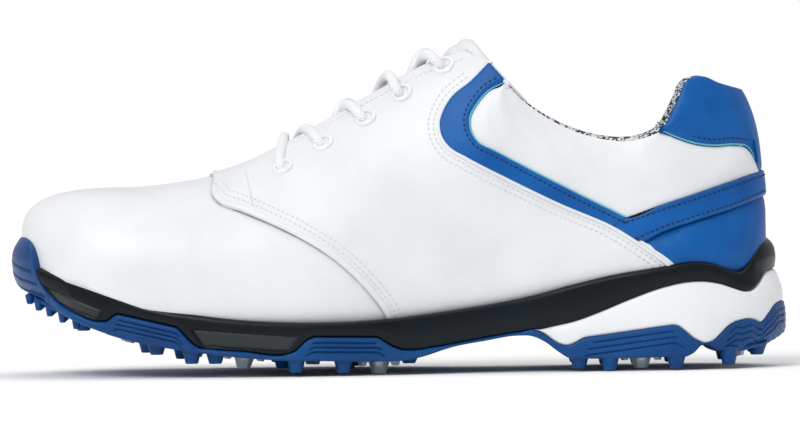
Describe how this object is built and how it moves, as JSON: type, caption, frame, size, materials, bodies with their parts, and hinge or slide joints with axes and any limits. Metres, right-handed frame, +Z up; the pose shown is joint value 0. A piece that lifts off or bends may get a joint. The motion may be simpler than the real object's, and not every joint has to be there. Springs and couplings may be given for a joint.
{
  "type": "golf shoe",
  "caption": "Left golf shoe in white and blue leather: saddle front, laced throat, charcoal midsole frame, blue lugged outsole and twist-lock cleats",
  "frame": {"origin": "centre of the shoe's bounding box, on the ground it stands on", "axes": "+X to the heel, -X to the toe, -Y to the outer (lateral) side, +Z up"},
  "size_m": [0.2999, 0.108, 0.1286],
  "materials": {
    "white_leather": "coated, smooth",
    "blue_leather": "coated, fine grain",
    "sole_rubber": "moulded, satin",
    "frame_plastic": "moulded, matt",
    "white_foam": "moulded foam, satin",
    "grey_foam": "open foam with a cloth face",
    "shank_steel": "stamped",
    "fibre_board": "pressed fibre",
    "woven_lining": "woven black and white",
    "white_enamel": "enamelled",
    "white_lace": "braided",
    "cleat_plastic": "moulded",
    "lace_tip_plastic": "clear film"
  },
  "bodies": {
    "shoe": {"outsole": "sole_rubber", "midsole_frame": "frame_plastic", "heel_wedge": "white_foam", "midsole_cushion": "grey_foam", "shank_plate": "shank_steel", "insole_board": "fibre_board", "sockliner": "grey_foam", "vamp": "white_leather", "lateral_quarter": "white_leather", "medial_quarter": "white_leather", "lateral_throat_patch": "white_leather", "medial_throat_patch": "white_leather", "lateral_ankle_panel": "white_leather", "medial_ankle_panel": "white_leather", "lateral_hook_panel": "blue_leather", "medial_hook_panel": "blue_leather", "heel_strap_panel": "blue_leather", "heel_counter_panel": "blue_leather", "collar_back_panel": "blue_leather", "collar_padding": "grey_foam", "collar_lining": "woven_lining", "vamp_lining": "woven_lining", "toe_puff": "fibre_board", "heel_stiffener": "fibre_board", "tongue_body": "white_leather", "eyelets_lateral": "white_enamel", "eyelets_medial": "white_enamel", "cleat_sockets": "frame_plastic", "lace": "white_lace", "lace_tips": "lace_tip_plastic"},
    "tongue_tab": {"tongue_tab": "white_leather"},
    "cleat_1": {"cleat_1": "cleat_plastic"},
    "cleat_2": {"cleat_2": "cleat_plastic"},
    "cleat_3": {"cleat_3": "cleat_plastic"},
    "cleat_4": {"cleat_4": "cleat_plastic"},
    "cleat_5": {"cleat_5": "cleat_plastic"},
    "cleat_6": {"cleat_6": "cleat_plastic"},
    "cleat_7": {"cleat_7": "cleat_plastic"},
    "cleat_8": {"cleat_8": "cleat_plastic"}
  },
  "joints": [
    {"name": "tongue_tab_flex", "type": "hinge", "parent": "shoe", "child": "tongue_tab", "pos_m": [0.027, 0, 0.1085], "axis": [0, 1, 0], "range_deg": [0, 25], "stiffness_Nm_per_rad": 0.02},
    {"name": "cleat_1_twist", "type": "hinge", "parent": "shoe", "child": "cleat_1", "pos_m": [-0.1038, 0.004, 0.0196], "axis": [-0.2419, 0, -0.9703], "range_deg": [0, 60]},
    {"name": "cleat_2_twist", "type": "hinge", "parent": "shoe", "child": "cleat_2", "pos_m": [-0.079, 0.031, 0.0128], "axis": [-0.1564, 0, -0.9877], "range_deg": [0, 60]},
    {"name": "cleat_3_twist", "type": "hinge", "parent": "shoe", "child": "cleat_3", "pos_m": [-0.0595, -0.029, 0.0104], "axis": [-0.0872, 0, -0.9962], "range_deg": [0, 60]},
    {"name": "cleat_4_twist", "type": "hinge", "parent": "shoe", "child": "cleat_4", "pos_m": [-0.034, 0.032, 0.009], "axis": [-0.0175, 0, -0.9998], "range_deg": [0, 60]},
    {"name": "cleat_5_twist", "type": "hinge", "parent": "shoe", "child": "cleat_5", "pos_m": [-0.008, -0.033, 0.0076], "axis": [0, 0, -1], "range_deg": [0, 60]},
    {"name": "cleat_6_twist", "type": "hinge", "parent": "shoe", "child": "cleat_6", "pos_m": [0.093, -0.024, 0.0081], "axis": [0, 0, -1], "range_deg": [0, 60]},
    {"name": "cleat_7_twist", "type": "hinge", "parent": "shoe", "child": "cleat_7", "pos_m": [0.093, 0.02, 0.0081], "axis": [0, 0, -1], "range_deg": [0, 60]},
    {"name": "cleat_8_twist", "type": "hinge", "parent": "shoe", "child": "cleat_8", "pos_m": [0.13, -0.002, 0.0113], "axis": [0.1219, 0, -0.9925], "range_deg": [0, 60]}
  ]
}
